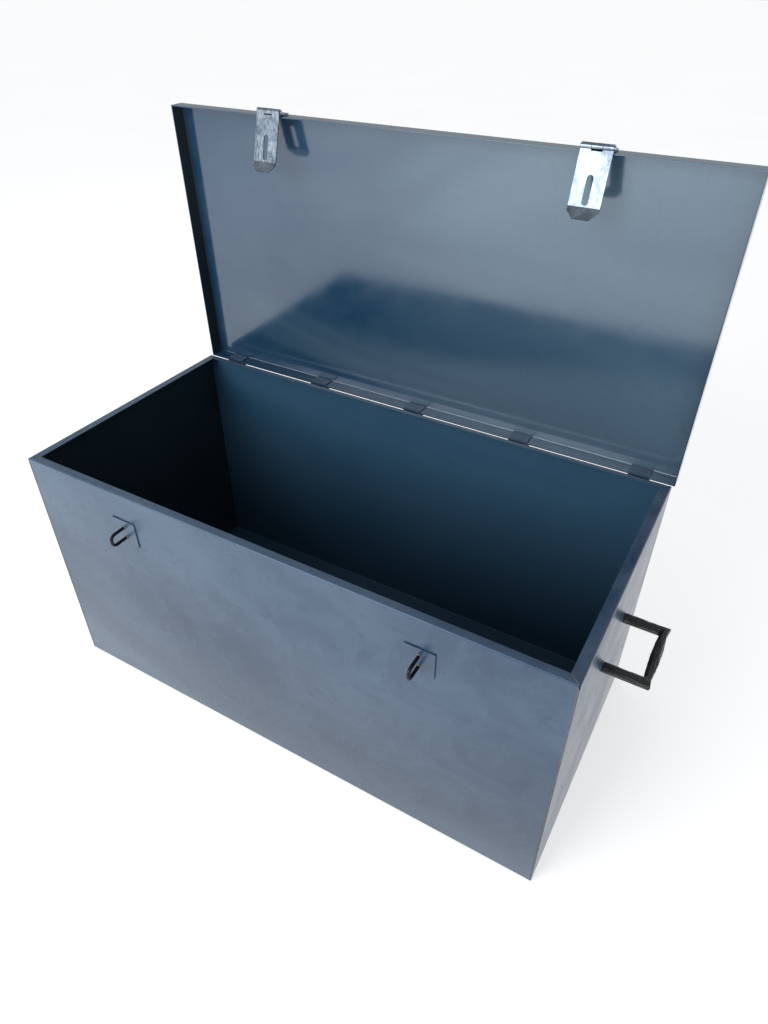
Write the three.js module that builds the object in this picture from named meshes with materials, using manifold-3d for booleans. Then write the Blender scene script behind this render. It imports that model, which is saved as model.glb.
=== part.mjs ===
// Steel truck tool box: a welded sheet-steel chest with a pan lid standing open on five hinges,
// two hasps on the lid, two padlock staples on the front and a wrapped bar handle on each end.
//
// Millimetres. +X runs along the length to the right, +Y to the back, +Z up. The origin is the
// centre of the underside. The lid is built shut and turned open about its hinge line.

import * as THREE from 'three';
import { mergeVertices } from 'three/addons/utils/BufferGeometryUtils.js';
import Module from 'manifold-3d';

const wasm = await Module();
wasm.setup();

// ---- driving dimensions -------------------------------------------------------------------

const LENGTH = 900; // outside, without the handles
const DEPTH = 436;
const HEIGHT = 440; // floor to rim
const SHEET = 1.6; // body sheet
const GAP = 0.3; // between pieces that rest on one another
const BEND = 2.4; // centreline radius of the body's folds
const LIP = { front: 13, back: 11, end: 15.5 }; // rim turned inwards

const LID_SHEET = 1.5;
const LID_SIDE_CLEARANCE = 1.7;
const LID_FRONT_CLEARANCE = 1.7;
const LID_BACK_CLEARANCE = 3.3;
const LID_REST = 0.5; // lid underside above the rim when shut
const FLANGE = 24.4; // inside depth of the lid's folded edge
const LID_EDGE_RADIUS = 3;
const LID_OPEN = 88.92; // degrees from shut

const HINGE = {
  count: 5,
  pitch: 199,
  width: 33,
  plate: 2,
  behindWall: 16, // pin axis behind the back panel
  belowRim: 17, // pin axis below the rim
  knuckle: 4.5,
  pin: 2,
  bore: 2.3,
  lidKnuckle: 16,
  boxKnuckle: 8,
  lidPlate: [-6.6, 12], // lid leaf's lower and upper edges from the pin axis
};
const PAD = { height: 20.5, thickness: 1.5 };

const HASP = {
  x: 254, // each side of the middle
  width: 42,
  plate: 2,
  plateHeight: 20,
  pinOut: 5.5, // pin axis in front of the lid's front edge
  pinUp: 1.9, // pin axis above the flange's free edge
  knuckle: 4.5,
  pin: 1.8,
  bore: 2.1,
  middleKnuckle: 14,
  leafBack: 1.1, // leaf's back face in front of the pin axis
  flat: 70, // pin axis to the bend
  tip: 16,
  tipBend: 22, // degrees outwards
  chamfer: 11,
  slotFrom: 32,
  slotTo: 68,
  slotWidth: 8.5,
  hang: 16, // degrees the leaf leans forward with the lid open
};

const STAPLE = { z: 370, plate: 45, thickness: 2, wire: 2.5, legs: 19, proud: 32 };

const HANDLE = { z: 306, reach: 58, grip: 106, bar: 4, wrapLeg: 8, wrapGrip: 7, wrapStart: 3 };

// ---- worked out from them -----------------------------------------------------------------

const halfL = LENGTH / 2;
const halfD = DEPTH / 2;
const hingeY = halfD + HINGE.behindWall;
const hingeZ = HEIGHT - HINGE.belowRim;
const lid = {
  x: halfL + LID_SIDE_CLEARANCE + LID_SHEET,
  front: -(halfD + LID_FRONT_CLEARANCE + LID_SHEET),
  back: halfD + LID_BACK_CLEARANCE + LID_SHEET,
  under: HEIGHT + LID_REST,
  top: HEIGHT + LID_REST + LID_SHEET,
  edge: HEIGHT + LID_REST - FLANGE,
};
const haspY = lid.front - HASP.pinOut;
const haspZ = lid.edge + HASP.pinUp;

// ---- materials ----------------------------------------------------------------------------

const metal = (color, roughness, metalness) =>
  new THREE.MeshStandardMaterial({ color, roughness, metalness });
const steel = metal(0x50667a, 0.38, 0.85);
const lidSteel = metal(0x56707f, 0.2, 0.95);
const zinc = metal(0xa9b4bd, 0.32, 0.9);
const hingeSteel = metal(0x4a5a66, 0.45, 0.85);
const blackWire = metal(0x15181b, 0.4, 0.6);
const film = metal(0x0b0b0c, 0.28, 0);

// ---- solids -------------------------------------------------------------------------------

// Closed three.js geometry to a manifold-3d solid, and back.
function solid(geometry) {
  const bare = geometry.clone();
  bare.deleteAttribute('normal');
  bare.deleteAttribute('uv');
  const merged = mergeVertices(bare, 1e-4);
  return new wasm.Manifold(
    new wasm.Mesh({
      numProp: 3,
      vertProperties: new Float32Array(merged.attributes.position.array),
      triVerts: new Uint32Array(merged.index.array),
    })
  );
}

function geometryOf(body) {
  const mesh = body.getMesh();
  const indexed = new THREE.BufferGeometry();
  indexed.setAttribute('position', new THREE.BufferAttribute(mesh.vertProperties, 3));
  indexed.setIndex(new THREE.BufferAttribute(mesh.triVerts, 1));
  const flat = indexed.toNonIndexed();
  flat.computeVertexNormals();
  return flat;
}

const join = (bodies) => bodies.reduce((all, body) => all.add(body));

// A block given by its low and high corners.
function block(low, high) {
  const size = high.map((value, i) => value - low[i]);
  const geometry = new THREE.BoxGeometry(...size);
  geometry.translate(...low.map((value, i) => value + size[i] / 2));
  return solid(geometry);
}

// A round bar along X, Y or Z from one coordinate to another, centred on the other two.
function bar(axis, from, to, centre, radius, sides = 24) {
  const geometry = new THREE.CylinderGeometry(radius, radius, to - from, sides);
  geometry.translate(0, (from + to) / 2, 0);
  if (axis === 'x') geometry.rotateZ(-Math.PI / 2).translate(0, centre[0], centre[1]);
  if (axis === 'y') geometry.translate(centre[0], 0, centre[1]);
  if (axis === 'z') geometry.rotateX(Math.PI / 2).translate(centre[0], centre[1], 0);
  return solid(geometry);
}

function ball(centre, radius) {
  const geometry = new THREE.SphereGeometry(radius, 20, 14);
  geometry.translate(...centre);
  return solid(geometry);
}

// A (y, z) outline pushed along X, an (x, z) outline along Y, and an (x, y) outline along Z.
function alongX(shape, from, to) {
  const geometry = new THREE.ExtrudeGeometry(shape, { depth: to - from, bevelEnabled: false });
  const turn = new THREE.Matrix4().makeBasis(
    new THREE.Vector3(0, 1, 0), new THREE.Vector3(0, 0, 1), new THREE.Vector3(1, 0, 0));
  return solid(geometry.applyMatrix4(turn).translate(from, 0, 0));
}

function alongY(shape, from, to) {
  const geometry = new THREE.ExtrudeGeometry(shape, { depth: to - from, bevelEnabled: false });
  const turn = new THREE.Matrix4().makeBasis(
    new THREE.Vector3(1, 0, 0), new THREE.Vector3(0, 0, 1), new THREE.Vector3(0, -1, 0));
  return solid(geometry.applyMatrix4(turn).translate(0, to, 0));
}

function alongZ(shape, from, to) {
  const geometry = new THREE.ExtrudeGeometry(shape, { depth: to - from, bevelEnabled: false });
  return solid(geometry.translate(0, 0, from));
}

const polygon = (points) => new THREE.Shape(points.map(([u, v]) => new THREE.Vector2(u, v)));

// The section of a folded strip: a centreline with each corner turned on the given radius.
function foldedStrip(corners, thickness, radius, steps = 5) {
  const points = corners.map(([u, v]) => new THREE.Vector2(u, v));
  const line = [];
  points.forEach((point, i) => {
    if (i === 0 || i === points.length - 1) {
      const along = i === 0 ? points[1].clone().sub(point) : point.clone().sub(points[i - 1]);
      along.normalize();
      line.push({ at: point, normal: new THREE.Vector2(-along.y, along.x) });
      return;
    }
    const into = point.clone().sub(points[i - 1]).normalize();
    const out = points[i + 1].clone().sub(point).normalize();
    const turn = Math.atan2(into.x * out.y - into.y * out.x, into.dot(out));
    const side = Math.sign(turn);
    const start = point.clone().addScaledVector(into, -radius * Math.tan(Math.abs(turn) / 2));
    const normal = new THREE.Vector2(-into.y, into.x);
    const centre = start.clone().addScaledVector(normal, side * radius);
    for (let k = 0; k <= steps; k += 1) {
      const here = normal.clone().rotateAround(new THREE.Vector2(), (turn * k) / steps);
      line.push({ at: centre.clone().addScaledVector(here, -side * radius), normal: here });
    }
  });
  const left = line.map(({ at, normal }) => at.clone().addScaledVector(normal, thickness / 2));
  const right = line.map(({ at, normal }) => at.clone().addScaledVector(normal, -thickness / 2));
  return new THREE.Shape([...left, ...right.reverse()]);
}

// A rectangle with all its corners, or only the upper two, rounded.
function roundedRectangle(u0, u1, v0, v1, radius, lowerToo) {
  const shape = new THREE.Shape();
  const low = lowerToo ? radius : 0;
  shape.moveTo(u0 + low, v0);
  shape.lineTo(u1 - low, v0);
  if (lowerToo) shape.absarc(u1 - radius, v0 + radius, radius, -Math.PI / 2, 0);
  shape.lineTo(u1, v1 - radius);
  shape.absarc(u1 - radius, v1 - radius, radius, 0, Math.PI / 2);
  shape.lineTo(u0 + radius, v1);
  shape.absarc(u0 + radius, v1 - radius, radius, Math.PI / 2, Math.PI);
  shape.lineTo(u0, v0 + low);
  if (lowerToo) shape.absarc(u0 + radius, v0 + radius, radius, Math.PI, Math.PI * 1.5);
  return new THREE.Shape(shape.extractPoints(5).shape);
}

// ---- the scene ----------------------------------------------------------------------------

const toolBox = new THREE.Group();

function piece(name, body, material, parent = toolBox) {
  const mesh = new THREE.Mesh(geometryOf(body), material);
  mesh.name = name;
  parent.add(mesh);
  return mesh;
}

// ---- body: front, floor and back folded from one sheet, and two end panels ----------------

const mid = SHEET / 2;

// The plan of a rim corner's mitre: the end lip's share, or the front or back lip's share.
function mitreCut(side, face, forEndPanel) {
  const lip = face < 0 ? LIP.front : LIP.back;
  const outer = [side * halfL, face * halfD];
  const inner = [side * (halfL - LIP.end), face * (halfD - lip)];
  const away = forEndPanel ? GAP / 2 : -GAP / 2;
  const far = 2 * BEND;
  const shift = ([x, y]) => [x + side * away, y - face * away];
  const reach = forEndPanel
    ? [[inner[0] - side * far, inner[1]], [inner[0] - side * far, outer[1] + face * far]]
    : [[outer[0] + side * far, inner[1] - face * far], [inner[0], inner[1] - face * far]];
  const corners = forEndPanel
    ? [shift(outer), shift(inner), ...reach, [outer[0] + side * away, outer[1] + face * far]]
    : [shift(outer), [outer[0] + side * far, outer[1]], ...reach, shift(inner)];
  const plan = polygon(corners);
  if (THREE.ShapeUtils.area(plan.getPoints()) < 0) corners.reverse();
  return alongZ(polygon(corners), HEIGHT - SHEET - 2 * BEND, HEIGHT + SHEET);
}

function bodyShell() {
  const section = foldedStrip([
    [halfD - LIP.back, HEIGHT - mid],
    [halfD - mid, HEIGHT - mid],
    [halfD - mid, mid],
    [-halfD + mid, mid],
    [-halfD + mid, HEIGHT - mid],
    [-halfD + LIP.front, HEIGHT - mid],
  ], SHEET, BEND);
  const reach = halfL - SHEET - GAP;
  let shell = alongX(section, -reach, reach);
  for (const side of [-1, 1]) {
    for (const face of [-1, 1]) shell = shell.subtract(mitreCut(side, face, false));
  }
  return shell;
}

function endPanel(side) {
  const section = foldedStrip([
    [side * (halfL - LIP.end), HEIGHT - mid],
    [side * (halfL - mid), HEIGHT - mid],
    [side * (halfL - mid), 0],
  ], SHEET, BEND);
  const outline = roundedRectangle(-halfD, halfD, 0, HEIGHT, BEND + mid, true);
  let panel = alongY(section, -halfD, halfD).intersect(alongX(outline, -halfL - 1, halfL + 1));
  for (const face of [-1, 1]) panel = panel.subtract(mitreCut(side, face, true));
  return panel;
}

piece('body_shell', bodyShell(), steel);
piece('end_panel_left', endPanel(-1), steel);
piece('end_panel_right', endPanel(1), steel);

// ---- lid: built shut, hung open on the hinge line -----------------------------------------

const lidSwing = new THREE.Group();
lidSwing.position.set(0, hingeY, hingeZ);
lidSwing.rotation.x = -THREE.MathUtils.degToRad(LID_OPEN);
const lidShut = new THREE.Group();
lidShut.position.set(0, -hingeY, -hingeZ);
lidSwing.add(lidShut);
toolBox.add(lidSwing);

function lidBlock(inset, top, radius) {
  const bottom = lid.edge - (inset > 0 ? 1 : 0);
  const front = lid.front + inset;
  const back = lid.back - inset;
  const x = lid.x - inset;
  const lengthwise = alongX(roundedRectangle(front, back, bottom, top, radius, false), -x, x);
  const crosswise = alongY(roundedRectangle(-x, x, bottom, top, radius, false), front, back);
  return lengthwise.intersect(crosswise);
}

const lidPan = lidBlock(0, lid.top, LID_EDGE_RADIUS)
  .subtract(lidBlock(LID_SHEET, lid.under, LID_EDGE_RADIUS - LID_SHEET));
piece('lid_pan', lidPan, lidSteel, lidShut);

// ---- hinges -------------------------------------------------------------------------------

// Sections are drawn about the pin axis. The box leaf steps out from the back panel, passes under
// the lid's edge and rises behind the knuckles, where it stops the lid just short of upright.
function boxLeaf(x) {
  const { width, plate, knuckle, boxKnuckle, bore, behindWall } = HINGE;
  const wall = -behindWall + GAP + plate / 2;
  const riser = knuckle + plate / 2 + 0.4;
  const shelf = -13;
  const strip = foldedStrip(
    [[wall, -45], [wall, shelf], [riser, shelf], [riser, 8]], plate, plate * 0.9);
  const half = width / 2;
  const parts = [alongX(strip, -half, half)];
  for (const [from, to] of [[-half, -half + boxKnuckle], [half - boxKnuckle, half]]) {
    parts.push(bar('x', from, to, [0, 0], knuckle));
    parts.push(block([from, 0, -knuckle], [to, riser, -knuckle + plate]));
  }
  return join(parts).subtract(bar('x', -half - 1, half + 1, [0, 0], bore))
    .translate(x, hingeY, hingeZ);
}

function lidLeaf(x) {
  const { width, plate, knuckle, lidKnuckle, bore, lidPlate } = HINGE;
  const half = width / 2;
  const middle = lidKnuckle / 2;
  const face = lid.back + GAP - hingeY;
  const web = knuckle - plate;
  return join([
    block([-half, face, lidPlate[0]], [half, face + plate, lidPlate[1]]),
    block([-half, face, web], [half, -knuckle - 0.8, knuckle]),
    block([-middle, face, web], [middle, 0, knuckle]),
    bar('x', -middle, middle, [0, 0], knuckle),
  ]).subtract(bar('x', -half, half, [0, 0], bore)).translate(x, hingeY, hingeZ);
}

function hingePin(x) {
  const half = HINGE.width / 2 + 0.4;
  return join([
    bar('x', -half, half, [0, 0], HINGE.pin),
    bar('x', -half - 1.2, -half, [0, 0], HINGE.pin + 1.2),
    bar('x', half, half + 1.2, [0, 0], HINGE.pin + 1.2),
  ]).translate(x, hingeY, hingeZ);
}

// A thin plate welded inside the lid's back flange behind each hinge.
function backingPad(x) {
  const face = lid.back - LID_SHEET - 0.2;
  const top = lid.under - 1.5;
  return block([x - HINGE.width / 2, face - PAD.thickness, top - PAD.height],
    [x + HINGE.width / 2, face, top]);
}

for (let i = 0; i < HINGE.count; i += 1) {
  const x = (i - (HINGE.count - 1) / 2) * HINGE.pitch;
  const number = i + 1;
  piece(`hinge_${number}_box_leaf`, boxLeaf(x), hingeSteel);
  piece(`hinge_${number}_pin`, hingePin(x), hingeSteel);
  piece(`hinge_${number}_lid_leaf`, lidLeaf(x), hingeSteel, lidShut);
  piece(`hinge_${number}_backing_pad`, backingPad(x), lidSteel, lidShut);
}

// ---- hasps --------------------------------------------------------------------------------

// Sections are drawn about the hasp pin, with the leaf hanging straight down over its staple.
function haspPlate() {
  const { width, plate, plateHeight, knuckle, middleKnuckle, bore, pinOut } = HASP;
  const face = pinOut - GAP;
  const half = width / 2;
  const middle = middleKnuckle / 2;
  return join([
    block([-half, face - plate, knuckle + 0.6], [half, face, plateHeight]),
    block([-middle, face - plate, 0], [middle, face, plateHeight]),
    bar('x', -middle, middle, [0, 0], knuckle),
  ]).subtract(bar('x', -half, half, [0, 0], bore));
}

function haspLeaf() {
  const { width, plate, knuckle, middleKnuckle, bore, leafBack, flat, tip, tipBend } = HASP;
  const half = width / 2;
  const notch = middleKnuckle / 2 + 0.5;
  const y = -leafBack - plate / 2;
  const bend = THREE.MathUtils.degToRad(tipBend);
  const end = [y - tip * Math.sin(bend), -flat - tip * Math.cos(bend)];
  const strip = foldedStrip([[y, -1], [y, -flat], end], plate, plate * 1.5);
  const front = new THREE.Shape();
  front.moveTo(-half, 0);
  front.lineTo(-half, -flat - tip + HASP.chamfer);
  front.lineTo(-half + HASP.chamfer, -flat - tip);
  front.lineTo(half - HASP.chamfer, -flat - tip);
  front.lineTo(half, -flat - tip + HASP.chamfer);
  front.lineTo(half, 0);
  const round = HASP.slotWidth / 2;
  const slot = roundedRectangle(-round, round, -HASP.slotTo, -HASP.slotFrom, round - 0.01, true);
  const sheet = alongX(strip, -half, half)
    .intersect(alongY(front, -3 * tip, 3 * tip))
    .subtract(alongY(slot, -3 * tip, 3 * tip))
    .subtract(block([-notch, -knuckle - 3, -knuckle - 0.8], [notch, knuckle, 1]));
  return join([
    sheet,
    bar('x', -half, -notch, [0, 0], knuckle),
    bar('x', notch, half, [0, 0], knuckle),
  ]).subtract(bar('x', -half - 1, half + 1, [0, 0], bore));
}

function haspPin() {
  const half = HASP.width / 2 + 0.4;
  return join([
    bar('x', -half, half, [0, 0], HASP.pin),
    bar('x', -half - 1, -half, [0, 0], HASP.pin + 1),
    bar('x', half, half + 1, [0, 0], HASP.pin + 1),
  ]);
}

for (const [word, side] of [['left', -1], ['right', 1]]) {
  const hasp = new THREE.Group();
  hasp.position.set(side * HASP.x, haspY, haspZ);
  lidShut.add(hasp);
  piece(`hasp_${word}_plate`, haspPlate(), zinc, hasp);
  piece(`hasp_${word}_pin`, haspPin(), zinc, hasp);
  piece(`hasp_${word}_leaf`, haspLeaf(), zinc, hasp).rotation.x =
    THREE.MathUtils.degToRad(LID_OPEN - HASP.hang);
}

// ---- staples ------------------------------------------------------------------------------

function staplePlate(x) {
  const half = STAPLE.plate / 2;
  const face = -halfD - GAP;
  return block([x - half, face - STAPLE.thickness, STAPLE.z - half],
    [x + half, face, STAPLE.z + half]);
}

function stapleLoop(x) {
  const half = STAPLE.legs / 2;
  const root = -halfD - 2 * GAP - STAPLE.thickness;
  const nose = -halfD - STAPLE.proud + STAPLE.wire;
  const round = half * 0.8;
  const route = new THREE.CurvePath();
  const at = (y, z) => new THREE.Vector3(x, y, STAPLE.z + z);
  const corner = (sign) => (t) => at(nose + round * (1 - Math.sin(t)),
    sign * (half - round * (1 - Math.cos(t))));
  const bend = (sign, forwards) => Array.from({ length: 7 }, (_, k) =>
    corner(sign)(((forwards ? k : 6 - k) / 6) * (Math.PI / 2)));
  const points = [at(root, half), ...bend(1, true), ...bend(-1, false), at(root, -half)];
  points.slice(1).forEach((point, i) => route.add(new THREE.LineCurve3(points[i], point)));
  const ring = Array.from({ length: 10 }, (_, k) => new THREE.Vector2(
    STAPLE.wire * Math.cos((k / 10) * 2 * Math.PI), STAPLE.wire * Math.sin((k / 10) * 2 * Math.PI)));
  const smooth = new THREE.CatmullRomCurve3(points, false, 'centripetal');
  return solid(new THREE.ExtrudeGeometry(new THREE.Shape(ring), {
    steps: 36, bevelEnabled: false, extrudePath: smooth }));
}

for (const [word, side] of [['left', -1], ['right', 1]]) {
  piece(`staple_${word}_plate`, staplePlate(side * HASP.x), steel);
  piece(`staple_${word}_loop`, stapleLoop(side * HASP.x), blackWire);
}

// ---- handles ------------------------------------------------------------------------------

// A square-cornered loop of bar standing straight out of an end panel.
function handleLoop(side, start, legRadius, gripRadius) {
  const half = HANDLE.grip / 2;
  const near = side * (halfL + start);
  const far = side * (halfL + HANDLE.reach);
  const [from, to] = near < far ? [near, far] : [far, near];
  const parts = [bar('y', -half, half, [far, HANDLE.z], gripRadius)];
  for (const y of [-half, half]) {
    parts.push(bar('x', from, to, [y, HANDLE.z], legRadius));
    parts.push(ball([far, y, HANDLE.z], legRadius));
  }
  return join(parts);
}

for (const [word, side] of [['left', -1], ['right', 1]]) {
  const { bar: radius, wrapLeg, wrapGrip, wrapStart } = HANDLE;
  const bore = radius + GAP;
  piece(`handle_${word}_bar`, handleLoop(side, GAP, radius, radius), steel);
  piece(`handle_${word}_wrap`, handleLoop(side, wrapStart, wrapLeg, wrapGrip)
    .subtract(handleLoop(side, 0, bore, bore)), film);
}

export default toolBox;
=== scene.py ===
"""Looks of the truck tool box: sheet-steel finishes, weld beads, wrapped handles, studio and camera.

Everything is in metres in the CAD frame: +X along the length, +Y to the back, +Z up, the chest
standing on z = 0 with its lid open.
"""

import math

import bmesh
import bpy
from mathutils import Matrix, Vector, noise


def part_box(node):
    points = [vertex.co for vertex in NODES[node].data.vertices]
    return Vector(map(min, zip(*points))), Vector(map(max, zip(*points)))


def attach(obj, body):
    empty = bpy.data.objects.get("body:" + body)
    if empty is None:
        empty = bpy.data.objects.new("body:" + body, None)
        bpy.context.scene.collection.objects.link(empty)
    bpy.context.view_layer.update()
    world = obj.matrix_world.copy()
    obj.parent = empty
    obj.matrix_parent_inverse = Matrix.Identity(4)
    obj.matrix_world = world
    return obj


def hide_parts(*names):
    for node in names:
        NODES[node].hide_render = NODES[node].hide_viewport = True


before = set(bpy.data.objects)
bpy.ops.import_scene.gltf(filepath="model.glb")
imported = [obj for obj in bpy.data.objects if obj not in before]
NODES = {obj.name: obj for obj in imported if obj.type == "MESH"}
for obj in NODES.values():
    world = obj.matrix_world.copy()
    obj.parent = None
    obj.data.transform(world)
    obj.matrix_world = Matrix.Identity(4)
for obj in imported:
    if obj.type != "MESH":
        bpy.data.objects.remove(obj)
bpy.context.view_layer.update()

SIDES = ("left", "right")
HINGES = range(1, 6)
MM = 0.001

# ---- places read from the frame ---------------------------------------------------------------

shell_low, shell_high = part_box("body_shell")
HALF_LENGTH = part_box("end_panel_right")[1].x
FRONT = shell_low.y
BACK = shell_high.y
RIM = shell_high.z
SHEET = 1.6 * MM  # the body's gauge, the same as in the CAD

# ---- small node-tree language -----------------------------------------------------------------


class Nodes:
    """A material's node tree, with one short method for each kind of node it uses."""

    def __init__(self, name):
        self.material = bpy.data.materials.new(name)
        self.material.use_nodes = True
        self.tree = self.material.node_tree
        self.tree.nodes.clear()
        output = self.tree.nodes.new("ShaderNodeOutputMaterial")
        self.shader = self.tree.nodes.new("ShaderNodeBsdfPrincipled")
        self.tree.links.new(self.shader.outputs[0], output.inputs["Surface"])
        self.coordinates = self.tree.nodes.new("ShaderNodeTexCoord").outputs["Object"]

    def put(self, socket, value):
        """Sets an input to a number or colour, or links an output to it."""
        if isinstance(value, bpy.types.NodeSocket):
            self.tree.links.new(value, socket)
        else:
            socket.default_value = value

    def set(self, name, value):
        self.put(self.shader.inputs[name], value)

    def stretched(self, scale, turn=0.0):
        mapping = self.tree.nodes.new("ShaderNodeMapping")
        mapping.inputs["Scale"].default_value = scale
        mapping.inputs["Rotation"].default_value = (0.0, turn, 0.0)
        self.put(mapping.inputs["Vector"], self.coordinates)
        return mapping.outputs[0]

    def noise(self, scale, detail, roughness, distortion=0.0, vector=None):
        node = self.tree.nodes.new("ShaderNodeTexNoise")
        node.inputs["Scale"].default_value = scale
        node.inputs["Detail"].default_value = detail
        node.inputs["Roughness"].default_value = roughness
        node.inputs["Distortion"].default_value = distortion
        self.put(node.inputs["Vector"], vector or self.coordinates)
        return node.outputs["Fac"]

    def axis(self, name):
        split = self.tree.nodes.new("ShaderNodeSeparateXYZ")
        self.put(split.inputs[0], self.coordinates)
        return split.outputs[name]

    def math(self, operation, first, second):
        node = self.tree.nodes.new("ShaderNodeMath")
        node.operation = operation
        self.put(node.inputs[0], first)
        self.put(node.inputs[1], second)
        return node.outputs[0]

    def fit(self, value, low, high, to_low, to_high):
        """Maps low..high to to_low..to_high, smoothly and clamped."""
        node = self.tree.nodes.new("ShaderNodeMapRange")
        node.interpolation_type = "SMOOTHSTEP"
        for place, number in zip(("Value", "From Min", "From Max", "To Min", "To Max"),
                                 (value, low, high, to_low, to_high)):
            self.put(node.inputs[place], number)
        return node.outputs[0]

    def blend(self, factor, first, second):
        node = self.tree.nodes.new("ShaderNodeMix")
        node.data_type = "RGBA"
        self.put(node.inputs["Factor"], factor)
        self.put(node.inputs["A"], first)
        self.put(node.inputs["B"], second)
        return node.outputs["Result"]

    def bump(self, height, strength, distance, under=None):
        node = self.tree.nodes.new("ShaderNodeBump")
        node.inputs["Strength"].default_value = strength
        node.inputs["Distance"].default_value = distance
        self.put(node.inputs["Height"], height)
        if under is not None:
            self.put(node.inputs["Normal"], under)
        return node.outputs[0]


def rgb(red, green, blue):
    return (red, green, blue, 1.0)


# ---- finishes ---------------------------------------------------------------------------------

# The colour of the painted shade that darkens the sheet steels towards their floor.
PAINTED_SHADE = rgb(0.012, 0.02, 0.03)


def rolled_steel(name, dark, light, roughness, cloud_scale, crinkle, gloss, wave, shade=None, drift=None):
    """Rolled sheet under its mill scale: a blue oxide with a neutral gloss, cloudy and smeared.

    gloss is its refractive index, chosen for how strongly the sheet mirrors its surroundings.
    shade(nodes) says how far the colour goes to painted shade; drift(nodes) shifts the clouds'
    balance, as painted shade on steel_outside and as a painted reflection on steel_lid.
    """
    n = Nodes(name)
    n.set("IOR", gloss)
    along = n.stretched((0.35, 1.0, 1.0), math.radians(24))
    cloud = n.noise(cloud_scale, 3.0, 0.5, 1.3, along)
    if drift is not None:
        cloud = n.math("ADD", cloud, drift(n))
    patches = n.noise(cloud_scale * 5, 5.0, 0.6, 0.9)
    smear = n.noise(46.0, 6.0, 0.62, 1.6)
    lines = n.noise(60.0, 2.0, 0.5, 0.0, n.stretched((0.15, 9.0, 9.0)))
    grain = n.noise(900.0, 2.0, 0.5)

    colour = n.blend(n.fit(cloud, 0.3, 0.72, 0.0, 1.0), dark, light)
    colour = n.blend(n.fit(patches, 0.3, 0.7, 0.0, crinkle), colour, light)
    colour = n.blend(n.fit(smear, 0.5, 0.72, 0.0, crinkle), colour, dark)
    if shade is not None:
        colour = n.blend(shade(n), colour, PAINTED_SHADE)
    n.set("Base Color", colour)
    n.set("Metallic", 0.1)
    rough = n.math("ADD", n.fit(patches, 0.25, 0.75, roughness[0], roughness[1]),
                   n.fit(lines, 0.3, 0.7, 0.0, 0.03))
    n.set("Roughness", rough)
    waves = n.bump(n.noise(4.5, 1.0, 0.4), 0.35, wave)
    dents = n.bump(smear, 0.25, 0.25 * wave, waves)
    n.set("Normal", n.bump(grain, 0.06, 0.02 * MM, dents))
    return n.material


def plated_steel(name, dark, light, roughness):
    """Plated or drawn steel: cloudy, with dirt in spots and fine scratches that run up and down."""
    n = Nodes(name)
    cloud = n.noise(38.0, 5.0, 0.6, 0.8)
    scratches = n.noise(420.0, 3.0, 0.6, 0.0, n.stretched((1.0, 1.0, 0.03)))
    edge_dirt = n.noise(160.0, 4.0, 0.7, 0.5)
    colour = n.blend(n.fit(cloud, 0.3, 0.7, 0.0, 1.0), dark, light)
    colour = n.blend(n.fit(edge_dirt, 0.62, 0.8, 0.0, 0.5), colour, rgb(0.1, 0.1, 0.1))
    n.set("Base Color", colour)
    n.set("Metallic", 1.0)
    n.set("Roughness", n.fit(scratches, 0.3, 0.7, roughness[0], roughness[1]))
    n.set("Normal", n.bump(scratches, 0.2, 0.02 * MM))
    return n.material


def weld_steel():
    """Weld metal: dull grey with straw heat tints and soot."""
    n = Nodes("weld_steel")
    tint = n.noise(220.0, 3.0, 0.5, 0.5)
    soot = n.noise(90.0, 5.0, 0.7)
    colour = n.blend(n.fit(tint, 0.35, 0.65, 0.0, 1.0), rgb(0.2, 0.21, 0.22), rgb(0.24, 0.2, 0.15))
    colour = n.blend(n.fit(soot, 0.5, 0.7, 0.0, 0.7), colour, rgb(0.04, 0.05, 0.07))
    n.set("Base Color", colour)
    n.set("Metallic", 0.9)
    n.set("Roughness", n.fit(tint, 0.3, 0.7, 0.28, 0.5))
    n.set("Normal", n.bump(soot, 0.4, 0.1 * MM))
    return n.material


def black_wire():
    """Black semi-gloss wire, worn to grey in spots."""
    n = Nodes("black_wire")
    patches = n.noise(240.0, 4.0, 0.6)
    wear = n.noise(90.0, 5.0, 0.7, 0.5)
    worn = n.fit(wear, 0.62, 0.72, 0.0, 0.8)
    n.set("Base Color", n.blend(worn, rgb(0.012, 0.014, 0.018), rgb(0.16, 0.17, 0.18)))
    n.set("Metallic", 0.6)
    n.set("Roughness", n.fit(patches, 0.3, 0.7, 0.22, 0.42))
    n.set("Normal", n.bump(patches, 0.3, 0.05 * MM))
    return n.material


def black_film(name, run):
    """Thin glossy plastic film pulled into folds that run lengthwise; run is the folds' stretch."""
    n = Nodes(name)
    folds = n.noise(330.0, 3.0, 0.6, 0.4, n.stretched(run))
    puckers = n.noise(150.0, 4.0, 0.6, 1.2)
    n.set("Base Color", n.blend(n.fit(puckers, 0.35, 0.7, 0.0, 1.0), rgb(0.004, 0.004, 0.005),
                                rgb(0.014, 0.015, 0.017)))
    n.set("Roughness", n.fit(folds, 0.3, 0.7, 0.1, 0.26))
    n.set("Coat Weight", 0.4)
    n.set("Coat Roughness", 0.08)
    n.set("Normal", n.bump(folds, 0.9, 0.9 * MM, n.bump(puckers, 0.5, 0.3 * MM)))
    return n.material


def painted_shade_by_height(at_rim, at_floor):
    """How far a wall's colour goes to the painted shade colour, from its rim down to the floor."""
    return lambda n: n.fit(n.axis("Z"), 0.0, RIM, at_floor, at_rim)


def painted_reflection_to_the_right(n):
    """Shifts the clouds' balance towards the light colour on the right: a painted reflection."""
    return n.fit(n.axis("X"), -0.42, 0.2, -0.16, 0.08)


def painted_shade_to_the_right(n):
    """Shifts the clouds' balance towards the dark colour on the right: painted shade."""
    return n.fit(n.axis("X"), -0.45, 0.45, 0.08, -0.14)


# The wall steels below are darkened from rim to floor by painted shade, set by height.
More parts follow.
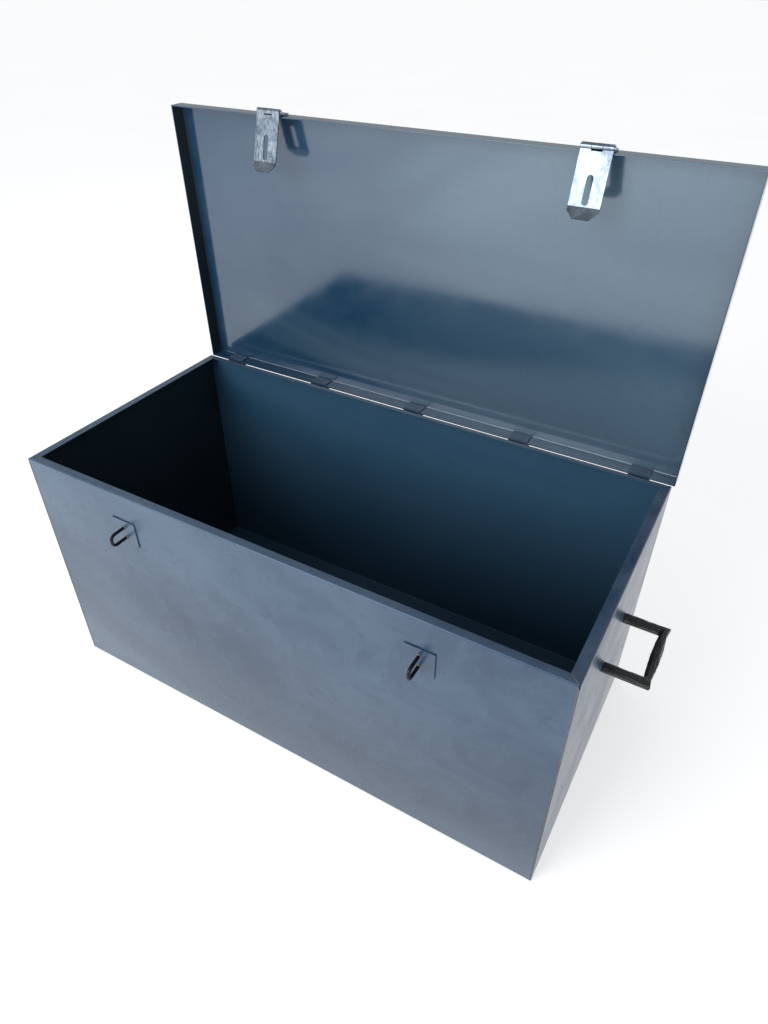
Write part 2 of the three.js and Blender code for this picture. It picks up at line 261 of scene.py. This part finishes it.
steel_outside = rolled_steel("steel_outside", rgb(0.02, 0.052, 0.11), rgb(0.095, 0.155, 0.235),
                             (0.2, 0.32), 2.2, 0.45, 1.6, 0.5 * MM, painted_shade_by_height(0.0, 0.25),
                             painted_shade_to_the_right)
steel_inside = rolled_steel("steel_inside", rgb(0.036, 0.11, 0.2), rgb(0.062, 0.15, 0.25),
                            (0.3, 0.4), 2.2, 0.2, 1.45, 0.4 * MM, painted_shade_by_height(0.0, 0.5))
# A darker copy of the inside steel for the inner faces of the end panels and the lid's end flanges: painted
# shade.
steel_inside_end_painted_shade = rolled_steel("steel_inside_end_painted_shade", rgb(0.014, 0.026, 0.036), rgb(0.024, 0.04, 0.052),
                                (0.3, 0.4), 2.2, 0.2, 1.45, 0.4 * MM, painted_shade_by_height(0.1, 0.4))
# The lid's inner steel is lightened towards the right by a painted reflection.
steel_lid = rolled_steel("steel_lid", rgb(0.012, 0.06, 0.13), rgb(0.11, 0.185, 0.26),
                         (0.08, 0.14), 2.6, 0.12, 1.85, 0.25 * MM, None, painted_reflection_to_the_right)
steel_lid_back = rolled_steel("steel_lid_back", rgb(0.02, 0.052, 0.11), rgb(0.095, 0.155, 0.235),
                              (0.2, 0.32), 2.2, 0.4, 1.6, 0.5 * MM)
zinc = plated_steel("zinc", rgb(0.13, 0.17, 0.22), rgb(0.34, 0.4, 0.46), (0.16, 0.34))
hinge_steel = plated_steel("hinge_steel", rgb(0.12, 0.16, 0.2), rgb(0.22, 0.27, 0.32), (0.28, 0.46))
weld_metal = weld_steel()
wire_black = black_wire()
film_arms = black_film("film_arms", (0.06, 1.0, 1.0))
film_grip = black_film("film_grip", (1.0, 0.06, 1.0))

# ---- finishing CAD nodes ----------------------------------------------------------------------


def new_group(name):
    """A modifier's node group, with its incoming and outgoing geometry sockets."""
    group = bpy.data.node_groups.new(name, "GeometryNodeTree")
    for way in ("INPUT", "OUTPUT"):
        group.interface.new_socket("Geometry", in_out=way, socket_type="NodeSocketGeometry")
    start = group.nodes.new("NodeGroupInput").outputs[0]
    return group, start, group.nodes.new("NodeGroupOutput").inputs[0]


def without_stored_normals():
    """Sets aside the normals that came with the model, so that the shading group's hold."""
    group, start, end = new_group("without_stored_normals")
    drop = group.nodes.new("GeometryNodeRemoveAttribute")
    drop.inputs["Name"].default_value = "custom_normal"
    group.links.new(start, drop.inputs["Geometry"])
    group.links.new(drop.outputs[0], end)
    return group


def shade_by_angle(limit):
    """Smooths faces and keeps edges sharper than the limit sharp."""
    group, start, end = new_group("shade_by_angle")
    faces = group.nodes.new("GeometryNodeSetShadeSmooth")
    edges = group.nodes.new("GeometryNodeSetShadeSmooth")
    edges.domain = "EDGE"
    edges.inputs["Shade Smooth"].default_value = False
    angle = group.nodes.new("GeometryNodeInputMeshEdgeAngle")
    sharp = group.nodes.new("FunctionNodeCompare")
    sharp.operation = "GREATER_THAN"
    sharp.inputs["B"].default_value = limit
    group.links.new(angle.outputs["Unsigned Angle"], sharp.inputs["A"])
    group.links.new(start, faces.inputs["Geometry"])
    group.links.new(faces.outputs[0], edges.inputs["Geometry"])
    group.links.new(sharp.outputs[0], edges.inputs["Selection"])
    group.links.new(edges.outputs[0], end)
    return group


def slot_in_boxes(slot, boxes):
    """Gives the faces whose centres lie in one of the boxes another material slot."""
    group, last, end = new_group("slot_in_boxes")
    place = group.nodes.new("GeometryNodeInputPosition").outputs[0]
    for low, high in boxes:
        both = group.nodes.new("FunctionNodeBooleanMath")
        for side, operation, corner in ((0, "GREATER_THAN", low), (1, "LESS_THAN", high)):
            compare = group.nodes.new("FunctionNodeCompare")
            compare.data_type = "VECTOR"
            compare.mode = "ELEMENT"
            compare.operation = operation
            first, second = [i for i in compare.inputs if i.type == "VECTOR"][:2]
            second.default_value = corner
            group.links.new(place, first)
            group.links.new(compare.outputs[0], both.inputs[side])
        paint = group.nodes.new("GeometryNodeSetMaterialIndex")
        paint.inputs["Material Index"].default_value = slot
        group.links.new(last, paint.inputs["Geometry"])
        group.links.new(both.outputs[0], paint.inputs["Selection"])
        last = paint.outputs[0]
    group.links.new(last, end)
    return group


OWN_NORMALS = without_stored_normals()
SHADING = shade_by_angle(math.radians(20))


def add_group(node, name, group):
    node.modifiers.new(name, "NODES").node_group = group


def finish_node(name, material, edge=0.3 * MM, others=()):
    """Gives a CAD node its finish by material slots, and broken edges and smooth rounds by modifiers.

    edge is how wide the edges are broken; others holds (material, boxes) for faces with another finish.
    """
    node = NODES[name]
    node.material_slots[0].material = material
    add_group(node, "own_normals", OWN_NORMALS)
    for other, boxes in others:
        node.data.materials.append(other)
        add_group(node, "finish", slot_in_boxes(len(node.data.materials) - 1, boxes))
    weld = node.modifiers.new("weld", "WELD")
    weld.merge_threshold = 0.002 * MM
    flat = node.modifiers.new("flat", "DECIMATE")
    flat.decimate_type = "DISSOLVE"
    flat.angle_limit = math.radians(0.3)
    flat.delimit = {"MATERIAL"}
    if edge:
        bevel = node.modifiers.new("edges", "BEVEL")
        bevel.width = edge
        bevel.segments = 2
        bevel.limit_method = "ANGLE"
        bevel.angle_limit = math.radians(40)
    add_group(node, "shading", SHADING)


SHEET_EDGE = 0.25 * MM
INSIDE = ((-HALF_LENGTH + SHEET / 2, FRONT + SHEET / 2, SHEET / 2),
          (HALF_LENGTH - SHEET / 2, BACK - SHEET / 2, RIM - SHEET / 2))
finish_node("body_shell", steel_outside, SHEET_EDGE, [(steel_inside, [INSIDE])])
# The end panels' inner faces take the darker inside steel, which is painted shade.
for name in ("end_panel_left", "end_panel_right"):
    finish_node(name, steel_outside, SHEET_EDGE, [(steel_inside_end_painted_shade, [INSIDE])])

# The lid's outer skin and the inner faces of its end flanges, in boxes that reach past the lid elsewhere;
# the flanges' inner faces take the darker steel of painted shade.
lid_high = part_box("lid_pan")[1]
LID_SKIN = ((-1.0, lid_high.y - 0.2 * MM, 0.0), (1.0, 1.0, 2.0))
flange_in, flange_out = lid_high.x - 3 * MM, lid_high.x - SHEET / 2
LID_SIDES = [((-flange_out, -1.0, 0.0), (-flange_in, 1.0, 2.0)),
             ((flange_in, -1.0, 0.0), (flange_out, 1.0, 2.0))]
finish_node("lid_pan", steel_lid, SHEET_EDGE,
            [(steel_lid_back, [LID_SKIN]), (steel_inside_end_painted_shade, LID_SIDES)])

for number in HINGES:
    for part in ("box_leaf", "pin", "lid_leaf"):
        finish_node(f"hinge_{number}_{part}", hinge_steel)
    finish_node(f"hinge_{number}_backing_pad", steel_lid_back)

for side in SIDES:
    finish_node(f"hasp_{side}_plate", zinc)
    finish_node(f"hasp_{side}_pin", zinc, 0)
    finish_node(f"hasp_{side}_leaf", zinc)
    finish_node(f"staple_{side}_plate", steel_outside)
    finish_node(f"staple_{side}_loop", wire_black, 0)
    finish_node(f"handle_{side}_bar", hinge_steel, 0)

# ---- meshes made here -------------------------------------------------------------------------


def mesh_object(name, vertices, faces, material, body):
    mesh = bpy.data.meshes.new(name)
    mesh.from_pydata(vertices, [], faces)
    mesh.materials.append(material)
    for face in mesh.polygons:
        face.use_smooth = True
    made = bpy.data.objects.new(name, mesh)
    bpy.context.scene.collection.objects.link(made)
    fix = bmesh.new()
    fix.from_mesh(mesh)
    bmesh.ops.recalc_face_normals(fix, faces=fix.faces)
    fix.to_mesh(mesh)
    fix.free()
    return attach(made, body)


def tube_rings(path, around, radius_at):
    """Vertices of a tube: a ring at each point of path, turned with it; radius_at(i, angle)."""
    rings = []
    count = len(path)
    side = None
    for i, point in enumerate(path):
        along = (path[min(i + 1, count - 1)] - path[max(i - 1, 0)]).normalized()
        if side is None:
            side = along.orthogonal().normalized()
        side = (side - along * side.dot(along)).normalized()
        up = along.cross(side)
        ring = []
        for k in range(around):
            angle = 2 * math.pi * k / around
            ring.append(point + (side * math.cos(angle) + up * math.sin(angle)) * radius_at(i, angle))
        rings.append(ring)
    return rings


def skin(rings, closed_ends=True):
    """Faces over the rings, as (vertices, faces)."""
    around = len(rings[0])
    vertices = [v for ring in rings for v in ring]
    faces = []
    for i in range(len(rings) - 1):
        for k in range(around):
            a, b = i * around + k, i * around + (k + 1) % around
            faces.append((a, b, b + around, a + around))
    if closed_ends:
        faces.append(tuple(reversed(range(around))))
        last = (len(rings) - 1) * around
        faces.append(tuple(range(last, last + around)))
    return vertices, faces


def closing_faces(count, around):
    """Faces that join the last of count rings to the first."""
    last = (count - 1) * around
    return [(last + k, last + (k + 1) % around, (k + 1) % around, k) for k in range(around)]


# ---- weld beads -------------------------------------------------------------------------------

BEAD_SIDES = 10
RING_STEPS = 36

def weld_bead(name, start, end, radius, body, squash=None):
    """A rippled bead from start to end. squash flattens it: (axis, share of the radius)."""
    start, end = Vector(start), Vector(end)
    length = (end - start).length
    ripple = radius * 0.55
    steps = max(6, int(length / ripple * 3))
    path = [start.lerp(end, i / steps) for i in range(steps + 1)]

    def radius_at(i, angle):
        from_end = min(i, steps - i) / 3
        fade = math.sqrt(min(1.0, 0.15 + from_end / 2))
        ripples = 1 + 0.16 * ((i % 3) / 2 - 0.5)
        uneven = 1 + 0.22 * noise.noise(path[i] * 260 + Vector((angle, 0, 0)))
        return radius * fade * ripples * uneven

    vertices, faces = skin(tube_rings(path, BEAD_SIDES, radius_at))
    if squash is not None:
        axis, share = squash
        middle = start[axis]
        for vertex in vertices:
            vertex[axis] = middle + (vertex[axis] - middle) * share
    mesh_object(name, vertices, faces, weld_metal, body)


def weld_ring(name, centre, axis, ring_radius, bead_radius, body):
    """A fillet bead round a bar where it meets a panel."""
    axis = Vector(axis)
    side = axis.orthogonal().normalized()
    up = axis.cross(side)
    rings = []
    for i in range(RING_STEPS):
        turn = 2 * math.pi * i / RING_STEPS
        out = side * math.cos(turn) + up * math.sin(turn)
        middle = Vector(centre) + out * ring_radius
        size = bead_radius * (1 + 0.14 * ((i % 3) / 2 - 0.5)
                              + 0.25 * noise.noise(Vector((i * 0.7, ring_radius * 900, 3.0))))
        rings.append([middle + (out * math.cos(a) + axis * math.sin(a)) * size
                      for a in (2 * math.pi * k / BEAD_SIDES for k in range(BEAD_SIDES))])
    vertices, faces = skin(rings, closed_ends=False)
    faces += closing_faces(RING_STEPS, BEAD_SIDES)
    mesh_object(name, vertices, faces, weld_metal, body)


# The rim's lips, the same as in the CAD, and the beads' radii.
LIP_FRONT, LIP_BACK, LIP_END = 13 * MM, 11 * MM, 15.5 * MM
CORNER_BEAD, MITRE_BEAD = 0.8 * MM, 1.1 * MM
HANDLE_BEAD, STAPLE_BEAD, HINGE_BEAD = 1.5 * MM, 1.0 * MM, 1.5 * MM
CORNER_IN = 0.35 * MM
MITRE_SUNK = 0.2 * MM
HINGE_PROUD = 0.7 * MM

for side, sign in zip(SIDES, (-1, 1)):
    seam_x = sign * (HALF_LENGTH - 1.1 * SHEET)
    for word, wall, inward, lip in (("front", FRONT, 1, LIP_FRONT), ("back", BACK, -1, LIP_BACK)):
        weld_bead(f"weld_corner_{word}_{side}", (seam_x, wall + inward * CORNER_IN, 3 * MM),
                  (seam_x, wall + inward * CORNER_IN, RIM - 4 * MM), CORNER_BEAD, "box")
        weld_bead(f"weld_mitre_{word}_{side}",
                  (sign * (HALF_LENGTH - 2.2 * MM), wall + inward * 2 * MM, RIM - MITRE_SUNK),
                  (sign * (HALF_LENGTH - LIP_END), wall + inward * lip, RIM - MITRE_SUNK),
                  MITRE_BEAD, "box", squash=(2, 0.4))

for side, sign in zip(SIDES, (-1, 1)):
    bar_low, bar_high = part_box(f"handle_{side}_bar")
    bar_radius = (bar_high.z - bar_low.z) / 2
    bar_z = (bar_high.z + bar_low.z) / 2
    for word, y in (("front", bar_low.y + bar_radius), ("back", bar_high.y - bar_radius)):
        weld_ring(f"weld_handle_{side}_{word}", (sign * (HALF_LENGTH + 0.3 * MM), y, bar_z), (sign, 0, 0),
                  bar_radius + 0.4 * MM, HANDLE_BEAD, "box")
    loop_low, loop_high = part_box(f"staple_{side}_loop")
    plate_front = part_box(f"staple_{side}_plate")[0].y
    wire = (loop_high.x - loop_low.x) / 2
    loop_x = (loop_high.x + loop_low.x) / 2
    for word, z in (("lower", loop_low.z + wire), ("upper", loop_high.z - wire)):
        weld_ring(f"weld_staple_{side}_{word}", (loop_x, plate_front - 0.1 * MM, z), (0, -1, 0),
                  wire + 0.2 * MM, STAPLE_BEAD, "box")

for number in HINGES:
    leaf_low, leaf_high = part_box(f"hinge_{number}_box_leaf")
    for word, x in (("left", leaf_low.x), ("right", leaf_high.x)):
        weld_bead(f"weld_hinge_{number}_{word}", (x, BACK + HINGE_PROUD, leaf_low.z + 3 * MM),
                  (x, BACK + HINGE_PROUD, leaf_low.z + 20 * MM), HINGE_BEAD, "box")
    weld_bead(f"weld_hinge_{number}_foot", (leaf_low.x + 3 * MM, BACK + HINGE_PROUD, leaf_low.z),
              (leaf_high.x - 3 * MM, BACK + HINGE_PROUD, leaf_low.z), HINGE_BEAD, "box")

# ---- handle wraps -----------------------------------------------------------------------------

NEARER_PANEL = 2.5 * MM  # how much nearer the panel the film starts than its CAD solid
CORNER_CLEAR = 9 * MM  # the path skips this much on each side of a square corner
LEG_BLEND = 8 * MM  # length over which the grip's film thickens into a leg's
CORNER_FILM = 5 * MM  # the legs' film reaches this far along the grip
LEG_RADIUS, GRIP_END_RADIUS, GRIP_SWELL, LARGEST_RADIUS = 7.9, 5.0, 2.5, 7.7  # millimetres

def wrap_path(side, sign):
    """The wrap's centreline from leg to leg, its two corners' places in it, and the bar's radius."""
    low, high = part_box(f"handle_{side}_wrap")
    bar_low, bar_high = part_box(f"handle_{side}_bar")
    thick = (bar_high.z - bar_low.z) / 2
    front, back = bar_low.y + thick, bar_high.y - thick
    z = (bar_low.z + bar_high.z) / 2
    near = min(abs(low.x), abs(high.x)) - NEARER_PANEL
    far = max(abs(bar_low.x), abs(bar_high.x)) - thick
    points, corners = [], []

    def line(a, b, step=0.9 * MM):
        count = max(2, int((b - a).length / step))
        points.extend(a.lerp(b, i / count) for i in range(count + 1))

    line(Vector((sign * near, front, z)), Vector((sign * (far - CORNER_CLEAR), front, z)))
    corners.append(len(points))
    points.append(Vector((sign * far, front, z)))
    line(Vector((sign * far, front + CORNER_CLEAR, z)), Vector((sign * far, back - CORNER_CLEAR, z)))
    corners.append(len(points))
    points.append(Vector((sign * far, back, z)))
    line(Vector((sign * (far - CORNER_CLEAR), back, z)), Vector((sign * near, back, z)))
    return points, corners, thick


def handle_wrap(side, sign):
    """Film bunched round the bar in lengthwise folds: fat legs, square corners, a spindle of a grip."""
    path, corners, thick = wrap_path(side, sign)
    lengths = [0.0]
    for a, b in zip(path, path[1:]):
        lengths.append(lengths[-1] + (b - a).length)
    half_grip = (lengths[corners[1]] - lengths[corners[0]]) / 2
    seed = 7.3 * sign

    def radius_at(i, angle):
        from_middle = abs(lengths[i] - lengths[-1] / 2)
        swell = math.cos(min(1.0, from_middle / half_grip) * math.pi / 2)
        on_leg = min(1.0, max(0.0, (from_middle - half_grip + CORNER_CLEAR) / LEG_BLEND))
        core = (GRIP_END_RADIUS + GRIP_SWELL * swell) * (1 - on_leg) + LEG_RADIUS * on_leg
        fold = Vector((math.cos(angle) * 2.1, math.sin(angle) * 2.1, lengths[i] * 16 + seed))
        fine = Vector((math.cos(angle) * 3.4, math.sin(angle) * 3.4, lengths[i] * 26 - seed))
        creases = 1.2 * noise.noise(fold) - 2.6 * abs(noise.noise(fine))
        return min(LARGEST_RADIUS, max(thick / MM + 0.4, core + creases)) * MM

    def mitred(rings):
        for i in corners:
            for vertex in rings[i]:
                vertex.x = path[i].x + (vertex.x - path[i].x) * math.sqrt(2)
                vertex.y = path[i].y + (vertex.y - path[i].y) * math.sqrt(2)
        return rings

    around = 64
    outer = mitred(tube_rings(path, around, radius_at))
    inner = mitred(tube_rings(path, around, lambda i, angle: thick + 0.12 * MM))
    rings = outer + list(reversed(inner))
    vertices, faces = skin(rings, closed_ends=False)
    faces += closing_faces(len(rings), around)
    wrap = mesh_object(f"film_{side}", vertices, faces, film_arms, "box")
    wrap.data.materials.append(film_grip)
    grip_from, grip_to = path[corners[0]].y + CORNER_FILM, path[corners[1]].y - CORNER_FILM
    for face in wrap.data.polygons:
        face.material_index = int(grip_from < face.center.y < grip_to)
    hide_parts(f"handle_{side}_wrap")


for side, sign in zip(SIDES, (-1, 1)):
    handle_wrap(side, sign)

# ---- studio -----------------------------------------------------------------------------------

FLOOR_SIZE = 60
FLOOR_GLOW = 0.55  # keeps the floor pale under the dim, soft light
SKY_COLOUR, SKY_STRENGTH = rgb(0.96, 0.98, 1.0), 0.45
WINDOW_PLACE, WINDOW_TARGET = (-1.2, -3.0, 2.0), (0, 0, 0.5)
WINDOW_SIZE, WINDOW_POWER = (2.2, 2.2), 64

def pale_floor():
    n = Nodes("floor")
    tone = n.noise(1.4, 4.0, 0.5)
    n.set("Base Color", n.blend(n.fit(tone, 0.3, 0.7, 0.0, 1.0), rgb(0.9, 0.9, 0.9), rgb(0.94, 0.94, 0.94)))
    n.set("Roughness", 0.7)
    n.set("Emission Color", rgb(1.0, 1.0, 1.0))
    n.set("Emission Strength", FLOOR_GLOW)
    bpy.ops.mesh.primitive_plane_add(size=FLOOR_SIZE, location=(0, 0, -0.5 * MM))
    floor = bpy.context.object
    floor.name = "floor"
    floor.data.materials.append(n.material)


def soft_light(name, place, target, size, power):
    data = bpy.data.lights.new(name, "AREA")
    data.shape = "RECTANGLE"
    data.size, data.size_y = size
    data.energy = power
    lamp = bpy.data.objects.new(name, data)
    bpy.context.scene.collection.objects.link(lamp)
    lamp.location = place
    aim = Vector(target) - Vector(place)
    lamp.rotation_euler = aim.to_track_quat("-Z", "Y").to_euler()


pale_floor()
world = bpy.data.worlds.new("studio")
bpy.context.scene.world = world
world.use_nodes = True
world.node_tree.nodes["Background"].inputs["Color"].default_value = SKY_COLOUR
world.node_tree.nodes["Background"].inputs["Strength"].default_value = SKY_STRENGTH
soft_light("window", WINDOW_PLACE, WINDOW_TARGET, WINDOW_SIZE, WINDOW_POWER)

# ---- camera -----------------------------------------------------------------------------------

EYE = Vector((0.5186, -0.7651, 1.0691))
LOOK = Vector((-0.39725, 0.68670, -0.60880))
ROLL = math.radians(0.108)
LENS = 25.4

camera_data = bpy.data.cameras.new("camera")
camera_data.lens = LENS
camera_data.sensor_width = 36.0
camera_data.clip_start = 0.05
camera = bpy.data.objects.new("camera", camera_data)
bpy.context.scene.collection.objects.link(camera)
camera.matrix_world = (Matrix.Translation(EYE) @ LOOK.to_track_quat("-Z", "Y").to_matrix().to_4x4()
                       @ Matrix.Rotation(ROLL, 4, "Z"))
bpy.context.scene.camera = camera
bpy.context.scene.view_settings.view_transform = "Standard"
